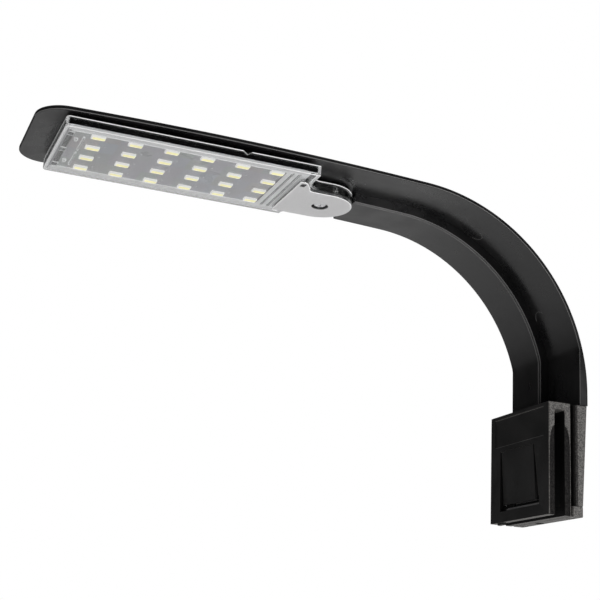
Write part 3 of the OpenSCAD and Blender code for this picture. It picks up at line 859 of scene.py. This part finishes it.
def lamp_outline(cut):
    """The lamp's plan, moved inwards by cut: tray, near blend, round lug and far blend, anticlockwise."""
    x0, x1 = TRAY_X0 + cut, TRAY_X1 - cut
    y0, y1 = TRAY_Y[0] + cut, TRAY_Y[1] - cut
    c = max(0.25, 1.6 - cut)    # radius of the tip's corners
    s = max(0.2, 0.7 - cut)     # and of the near corner beside the lug
    blend = BLEND_R + cut
    near = PIVOT[1] + LUG_R - cut
    far = PIVOT[1] - LUG_R + cut
    points = arc((x1 - c, y0 + c), c, -90, 0, 6)
    points += arc((x1 - c, y1 - c), c, 0, 90, 6)
    points += arc((x0 + s, y1 - s), s, 90, 180, 4)
    points += arc((x0 - blend, near + blend), blend, 0, -90, 12)
    points += arc((PIVOT[0], PIVOT[1]), LUG_R - cut, 90, 270, 48)
    far_end = math.degrees(math.asin(max(0, (blend - far + y0) / blend)))
    points += arc((x0 - blend, far - blend), blend, 90, far_end, 8)
    return points


def lug_outline(cut):
    """Plan of the deeper lug floor, with its step across the start of the tray."""
    points = arc((PIVOT[0], PIVOT[1]), LUG_R - cut, 90, 270, 48)
    c = max(0.2, 0.9 - cut)
    x1 = PIVOT[0] + 17.6 - cut
    y0, y1 = PIVOT[1] - LUG_R + cut, 16.5 - cut
    points += arc((x1 - c, y0 + c), c, -90, 0, 5)
    points += arc((x1 - c, y1 - c), c, 0, 90, 5)
    points += [(PIVOT[0] + 14.9 + 0.5 * cut, y1), (PIVOT[0] + 14.2 + 0.8 * cut, y1 - 0.6)]
    points += arc((PIVOT[0] + 8.2, PIVOT[1] + LUG_R + 3), 3 + cut, 0, -90, 5)
    return points


def tray(build):
    """Open clear tray: rounded bottom edge, rounded rim, inner fillet."""
    z0, z1 = TRAY_Z
    floor = z0 + TRAY_FLOOR
    rings = [(cut, z0 + rise) for cut, rise in quarter(0.3, 5)]
    rings += [(0, z0 + HIGHLIGHT_STRIP), (0, z1 - HIGHLIGHT_STRIP)]
    rings += [(cut, z1 - rise) for cut, rise in reversed(quarter(0.2, 4))]
    rings += [(TRAY_WALL - cut, z1 - rise) for cut, rise in quarter(0.2, 4)]
    rings += [(TRAY_WALL + 0.5 - 0.5 * math.cos(t), floor + 0.5 - 0.5 * math.sin(t))
              for t in [math.radians(90 * i / 4) for i in range(5)]]
    return build.stack([[(x, y, z) for x, y in lamp_outline(cut)] for cut, z in rings])


def tray_details(build):
    """What is moulded or etched on the tray's floor."""
    z = TRAY_Z[0] + TRAY_FLOOR
    mid = sum(TRAY_Y) / 2
    # painted light: whitish, faintly glowing zones of the floor, between the beads and along the ridges,
    # where light comes through them
    for x0, y0, x1, y1 in ((TRAY_X0 + 4.2, mid - 20.5, TRAY_X0 + 7.35, mid + 22),
                           (TRAY_X0 + 8.85, mid - 20.5, TRAY_X0 + 10.35, mid + 22),
                           (TRAY_X0 + 11.85, mid - 20.5, TRAY_X0 + 13.6, mid + 22),
                           (TRAY_X0 + 4.2, TRAY_Y[0] + 1.6, TRAY_X1 - 1.8, TRAY_Y[0] + 6.1),
                           (TRAY_X0 + 4.2, TRAY_Y[1] - 3.9, TRAY_X1 - 1.8, TRAY_Y[1] - 1.4)):
        faces = build.prism(rounded_bar(x0, y0, x1, y1, 0.4), z - 0.05, z + 0.04, 0.03, upright)
        for face in faces:
            face.material_index = PAINTED_LIGHT_SLOT
    # frosted strip on the underside, along the near wall
    strip = rounded_bar(TRAY_X0 + 4.2, TRAY_Y[1] - 1.35, TRAY_X1 - 1.8, TRAY_Y[1] - 0.4, 0.3)
    for face in build.prism(strip, TRAY_Z[0] - 0.03, TRAY_Z[0] + 0.04, 0.02, upright):
        face.material_index = FROST
    shapes = []
    # cross beads between the lug and the board, as nested low U-shaped ridges
    for x, reach in ((TRAY_X0 + 8.1, 21.5), (TRAY_X0 + 11.1, 20.5)):
        bead = rounded_bar(x - 0.55, mid - reach, x + 0.55, mid + reach, 0.5)
        shapes += build.prism(bead, z - 0.05, z + 0.6, 0.25, upright)
    # stiffening ridges along both long sides
    for y in (TRAY_Y[0] + 2.6, TRAY_Y[0] + 3.9, TRAY_Y[0] + 5.2, TRAY_Y[1] - 3.2, TRAY_Y[1] - 4.9):
        ridge = rounded_bar(TRAY_X0 + 13, y, TRAY_X1 - 3, y + 0.5, 0.24)
        shapes += build.prism(ridge, z - 0.05, z + 0.75, 0.2, upright)
    # corner blocks, hooked posts and thin ribs at the tip
    for y in (-17.2, 0, 17.2):
        block = rounded_bar(TRAY_X1 - 4.9, mid + y - 1.8, TRAY_X1 - 2.0, mid + y + 1.8, 0.3)
        shapes += build.prism(block, z - 0.05, z + 0.6, 0.15, upright)
    for y in (-12, 12):
        shapes += build.prism(circle((TRAY_X1 - 6.6, mid + y), 0.9), z - 0.05, z + 1.0, 0.3, upright)
        foot = rounded_bar(TRAY_X1 - 7.3, mid + y - 1.6, TRAY_X1 - 5.9, mid + y - 0.5, 0.3)
        shapes += build.prism(foot, z - 0.05, z + 0.5, 0.15, upright)
    for y in (-15.5, 1.5):
        rib = rounded_bar(TRAY_X1 - 9.7, mid + y, TRAY_X1 - 8.8, mid + y + 14, 0.35)
        shapes += build.prism(rib, z - 0.05, z + 0.9, 0.25, upright)
    # the sides of beads, ridges, blocks, posts and ribs get the painted highlight
    for face in shapes:
        if abs(face.normal.z) < 0.95:
            face.material_index = EDGE_HIGHLIGHT


def lug(build):
    """The lug's cup under the tray, before its recesses are cut."""
    z0, z1 = LUG_Z, TRAY_Z[0] + 0.02
    rings = [(cut, z0 + rise) for cut, rise in quarter(0.45, 5)]
    rings += [(0, z1), (TRAY_WALL, z1), (TRAY_WALL, z0 + TRAY_FLOOR)]
    return build.stack([[(x, y, z) for x, y in lug_outline(cut)] for cut, z in rings])


def screw_seat(build):
    """Short tube round the screw's head, with the shelf that the screw clamps."""
    low, shelf_low, shelf_high = LUG_Z + 0.95, LUG_Z + 1.7, LUG_Z + 2.7
    outer, hole = 4.7, 2.9
    profile = [(outer, low), (outer, shelf_high), (hole, shelf_high), (hole, shelf_low),
               (RECESS_R, shelf_low), (RECESS_R, low)]
    angles = [2 * math.pi * i / 48 for i in range(48)]
    x, y = PIVOT[:2]
    rings = [[(x + r * math.cos(a), y + r * math.sin(a), z) for a in angles] for r, z in profile]
    build.stack(rings, caps=False)


def make_lamp_housing():
    """The clear tray, the lug's cup under it and the details on their floors, as one piece."""
    shell = Builder()
    tray(shell)
    # the tray's floor is open over the lug's cup
    opening = cutter(lug_outline(TRAY_WALL + 0.05), TRAY_Z[0] - 1, TRAY_Z[0] + 1.3, upright)
    shell_mesh = carved(shell.mesh("tray"), [detent(TRAY_WALL + 1), opening])
    details = Builder()
    tray_details(details)
    screw_seat(details)
    cup = Builder()
    lug(cup)
    recess = drill(PIVOT, RECESS_R, LUG_Z - 1, LUG_Z + 1.4, upright, 48)
    x, y = PIVOT[0] + 14.4, 12
    pocket = cutter(box(x, y, x + 2.2, y + 3.2), LUG_Z - 1, LUG_Z + 0.4, upright)
    cup_mesh = carved(cup.mesh("lug"), [recess, pocket])
    joined = join([shell_mesh, cup_mesh, details.mesh("tray_details")], "lamp_tray")
    add_piece("lamp_tray", joined, "lamp_housing", [CLEAR, FROSTED, CLEAR_EDGE_HIGHLIGHT, PAINTED_LIGHT_PATCH])
    # the lug's underside is frosted; the rim's top strip and rounded edges get the painted highlight
    for face in joined.polygons:
        normal, x, z = face.normal, face.center.x / MM, face.center.z / MM
        if face.material_index:
            continue
        if normal.z < -0.9 and z < LUG_Z + 0.05:
            face.material_index = FROST
        elif z > TRAY_Z[1] - HIGHLIGHT_STRIP:
            face.material_index = EDGE_HIGHLIGHT
        elif 0.2 < abs(normal.z) < 0.95 and (z < TRAY_Z[0] or x > TRAY_X0):
            face.material_index = EDGE_HIGHLIGHT


def detent(deep):
    """Cutter for the V in the near rim, over a depth inwards from the tray's outer wall."""
    half, drop, mid_x, top = 2.2, 1.5, TRAY_X0 + 32.6, TRAY_Z[1]
    over = 0.45         # how far the cutter stands over the rim
    loop = [(mid_x - half * 1.3, top + over), (mid_x, top - drop), (mid_x + half * 1.3, top + over)]
    return cutter(loop, TRAY_Y[1] - deep, TRAY_Y[1] + 1, sideways)


def make_lid():
    """Gloss lid down inside the tray: plate, skirt, and a deeper skirt round the lug."""
    gap = TRAY_WALL + 0.15
    skirt_t, skirt_z, roof_z = 1.0, 86.4, 88.2
    build = Builder()
    rings = [(gap + cut, TRAY_Z[1] - rise) for cut, rise in quarter(0.25)]
    rings += [(gap, skirt_z + 0.1), (gap + 0.15, skirt_z), (gap + 0.85, skirt_z)]
    rings += [(gap + skirt_t, skirt_z + 0.1), (gap + skirt_t, roof_z)]
    build.stack([[(x, y, z) for x, y in lamp_outline(cut)] for cut, z in rings])
    bore = drill(PIVOT, 5.4, skirt_z - 5, TRAY_Z[1] + 5, upright, 48)
    lid = carved(build.mesh("lid"), [bore, detent(gap + 0.8)])
    deep = Builder()
    outer = arc(PIVOT, LUG_R - gap, 84, 276, 48)
    inner = arc(PIVOT, LUG_R - gap - skirt_t, 276, 84, 48)
    deep.prism(outer + inner, LUG_Z + 1.1, roof_z + 0.3, 0.1, upright)
    joined = join([lid, deep.mesh("deep")], "lamp_lid_moulding")
    add_piece("lamp_lid_moulding", joined, "lamp_lid", [GLOSS])


LED_ALONG, LED_ACROSS, LED_DEEP = 5.7, 3.0, 0.9
LED_SHIFT = (-0.25, -0.26)  # the pocket and its filling sit off centre


def led_centres():
    """Middle of each LED's top face, which lies on the board, from the frame's own box of the group."""
    low, high = box_mm("led_packages")
    columns, rows = 6, 4
    step_x = (high.x - low.x - LED_ALONG) / (columns - 1)
    step_y = (high.y - low.y - LED_ACROSS) / (rows - 1)
    return [(low.x + LED_ALONG / 2 + i * step_x, low.y + LED_ACROSS / 2 + j * step_y, high.z)
            for i in range(columns) for j in range(rows)]


def led_rings(centre, steps):
    """Rings of one LED from (inwards, cut corner, height over the face) steps, inner ones off centre."""
    rings = []
    for cut, corner, rise in steps:
        a, b = LED_ALONG / 2 - cut, LED_ACROSS / 2 - cut
        du, dv = LED_SHIFT if cut > 0.3 else (0, 0)
        loop = [(a, -b), (a, b), (-a, b), (-a, corner - b), (corner - a, -b)]
        z = centre[2] - LED_DEEP + rise
        rings.append([(centre[0] + u + du, centre[1] + v + dv, z) for u, v in loop])
    return rings


def make_leds():
    """White packages with a bevelled pocket and one cut corner, each filled with domed phosphor."""
    packages, windows = Builder(), Builder()
    for centre in led_centres():
        packages.stack(led_rings(centre, ((0, 0.35, LED_DEEP), (0, 0.35, 0.12), (0.12, 0.35, 0),
                                          (0.36, 0.3, 0), (0.5, 0.3, 0.3))))
        windows.stack(led_rings(centre, ((0.5, 0.3, 0.28), (0.42, 0.3, 0.11), (0.6, 0.35, 0.07),
                                         (1.0, 0.2, 0.05))))
    for name, build, node, slot, material in (
            ("led_package_bodies", packages, "led_packages", "led_body", LED_WHITE),
            ("led_phosphor_fills", windows, "led_windows", "led_phosphor", PHOSPHOR)):
        add_piece(name, build.mesh(name), node, [material])


def make_solder_dots():
    """A low bright dome beside each LED."""
    build = Builder()
    for x, y, z in led_centres():
        profile = [(0.42, z), (0.42, z - 0.08), (0.36, z - 0.18), (0.22, z - 0.24), (0.08, z - 0.25)]
        build.lathe(profile, (x - 4.7, y + 2.2), 16)
    add_piece("solder_domes", build.mesh("solder_domes"), "solder_dots", [SOLDER])


def make_screw():
    """Plated pan-head screw with a cross recess, in the lug."""
    low, high = box_mm("pivot_screw")
    build = Builder()
    dome = [(0.15, low.z)] + [(2.75 * math.sin(t), low.z + 0.62 * (1 - math.cos(t)))
                              for t in [math.radians(12 * i) for i in range(1, 8)]]
    build.lathe(dome + [(2.8, low.z + 0.75), (2.75, low.z + 1), (1.5, low.z + 1.05), (1.5, high.z - 0.3),
                        (1.2, high.z)], PIVOT)
    cross = []
    for u, v in ((1.55, 0.33), (0.33, 1.55)):
        loop = box(PIVOT[0] - u, PIVOT[1] - v, PIVOT[0] + u, PIVOT[1] + v)
        cross.append(cutter(loop, low.z - 1, low.z + 0.8, upright))
    add_piece("pan_head_screw", carved(build.mesh("screw"), cross), "pivot_screw", [CHROME])


PARTS = {
    # node: (edge radius in mm, record slot, material)
    "slot_pad": (0.2, "rubber_black", RUBBER),
    "inlet_grommet": (0.2, "rubber_black", RUBBER),
    "lid_gasket": (0.1, "silicone", SILICONE),
    "led_board": (0.1, "board_white", BOARD),
    "board_resistors": (0.08, "resistor", CHIP),
    "lead_terminals": (0.08, "solder", SOLDER),
    "lamp_lead": (0.12, "lead_pvc", PVC),
    "channel_lead": (0.1, "lead_pvc", PVC),
    "lead_clamp": (0.1, "bush_acetal", ACETAL),
    "pivot_bush": (0.15, "bush_acetal", ACETAL),
    "pivot_insert": (0.1, "brass_insert", BRASS),
    "pivot_washer": (0.06, "washer_steel", STEEL),
    "friction_washer": (0.02, "washer_steel", STEEL),
    "arm_screws": (0.06, "screw_steel", CHROME),
    "end_cap_screws": (0.06, "screw_steel", CHROME),
}


def soften(node, width, material):
    """A piece in place of a simple CAD node, the same shape with rounded edges."""
    bm = bmesh.new()
    bm.from_mesh(frame["nodes"][node].data)
    bmesh.ops.remove_doubles(bm, verts=bm.verts, dist=0.003 * MM)
    bmesh.ops.dissolve_limit(bm, angle_limit=math.radians(0.4), verts=bm.verts, edges=bm.edges)
    mesh = bpy.data.meshes.new(node + "_soft")
    bm.verts.index_update()
    mesh.from_pydata([v.co[:] for v in bm.verts], [], [[v.index for v in f.verts] for f in bm.faces])
    bm.free()
    holder = new_object(node, mesh)
    bevel = holder.modifiers.new("bevel", "BEVEL")
    bevel.width = width * MM
    bevel.segments = 3
    bevel.limit_method = "ANGLE"
    bevel.angle_limit = math.radians(28)
    add_piece(node + "_detailed", finished(baked(holder)), node, [material])


def make_parts():
    make_arm()
    make_cover()
    make_clip()
    make_tongue()
    make_end_cap()
    make_lamp_housing()
    make_lid()
    make_leds()
    make_solder_dots()
    make_screw()
    for node, (width, slot, material) in PARTS.items():
        soften(node, width, material)


# -------- stage

def make_camera():
    """Below the lamp and in front of the clip's near side, looking up along the lamp."""
    eye = Vector((293.345, 483.612, -116.428)) * MM
    aim = Vector((111.849, 0, 37.356)) * MM
    roll = math.radians(3.139)
    data = bpy.data.cameras.new("camera")
    data.lens = 76.42
    data.sensor_width = 36
    data.clip_start = 0.01
    camera = new_object("camera", data)
    turn = (aim - eye).to_track_quat("-Z", "Y").to_matrix() @ Matrix.Rotation(roll, 3, "Z")
    camera.matrix_world = Matrix.Translation(eye) @ turn.to_4x4()
    bpy.context.scene.camera = camera


def make_floor():
    """A sheet of pale paper under the light."""
    t = Tree("floor_paper")
    paper = t.ramp(t.noise(60, 2), 0.3, 0.7, (0.80, 0.80, 0.80), (0.82, 0.82, 0.82))
    t.feed("Base Color", paper)
    t.set(Roughness=0.9)
    half = 4.0
    height = -0.22
    mesh = bpy.data.meshes.new("floor")
    corners = [(-half, -half, height), (half, -half, height), (half, half, height), (-half, half, height)]
    mesh.from_pydata(corners, [], [(0, 1, 2, 3)])
    mesh.materials.append(t.material)
    new_object("floor", mesh)


def make_light(name, place, aim, size, power):
    """A rectangular lamp of some watts, at a place and turned to its aim."""
    data = bpy.data.lights.new(name, "AREA")
    data.shape = "RECTANGLE"
    data.size, data.size_y = size
    data.energy = power
    light = new_object(name, data)
    place, aim = Vector(place), Vector(aim)
    turn = (aim - place).to_track_quat("-Z", "Y").to_matrix()
    light.matrix_world = Matrix.Translation(place) @ turn.to_4x4()


def make_world():
    """White behind the object, and a dim room for what lights it and what it mirrors."""
    world = bpy.data.worlds.new("studio")
    bpy.context.scene.world = world
    world.use_nodes = True
    nodes, links = world.node_tree.nodes, world.node_tree.links
    background = nodes["Background"]
    place = nodes.new("ShaderNodeTexCoord").outputs["Generated"]
    axes = nodes.new("ShaderNodeSeparateXYZ")
    links.new(place, axes.inputs["Vector"])
    ramp = nodes.new("ShaderNodeValToRGB")
    ramp.color_ramp.elements[0].position = 0.4
    ramp.color_ramp.elements[0].color = (0.025, 0.025, 0.025, 1)
    ramp.color_ramp.elements[1].position = 1.0
    ramp.color_ramp.elements[1].color = (0.6, 0.6, 0.6, 1)
    links.new(axes.outputs["Z"], ramp.inputs["Fac"])
    path = nodes.new("ShaderNodeLightPath").outputs

    def combined(operation, first, second=None):
        """A maths node's output, on two outputs or on one and 0.5."""
        node = nodes.new("ShaderNodeMath")
        node.operation = operation
        links.new(first, node.inputs[0])
        if second:
            links.new(second, node.inputs[1])
        else:
            node.inputs[1].default_value = 0.5
        return node.outputs["Value"]

    # white shows to the camera, and through clear plastic as long as nothing has mirrored the ray
    straight = combined("LESS_THAN", path["Glossy Depth"])
    through = combined("MULTIPLY", path["Is Transmission Ray"], straight)
    mix = nodes.new("ShaderNodeMix")
    mix.data_type = "RGBA"
    links.new(combined("MAXIMUM", path["Is Camera Ray"], through), mix.inputs["Factor"])
    links.new(ramp.outputs["Color"], mix.inputs["A"])
    mix.inputs["B"].default_value = (1, 1, 1, 1)
    links.new(mix.outputs["Result"], background.inputs["Color"])


def make_stage():
    make_camera()
    make_floor()
    make_world()
    make_light("top_light", (-0.4, -0.8, 1.1), (-0.2, -0.6, 0), (1.2, 1.0), 11)
    make_light("side_light", (-0.5, 0.75, -0.08), (0, 0, -0.02), (0.35, 0.18), 3.2)
    make_light("under_light", (0.17, 0.12, -0.19), (0.15, 0, 0.08), (0.35, 0.3), 0.32)
    bpy.context.scene.view_settings.view_transform = "Standard"


make_stage()
make_parts()

bpy.context.view_layer.update()
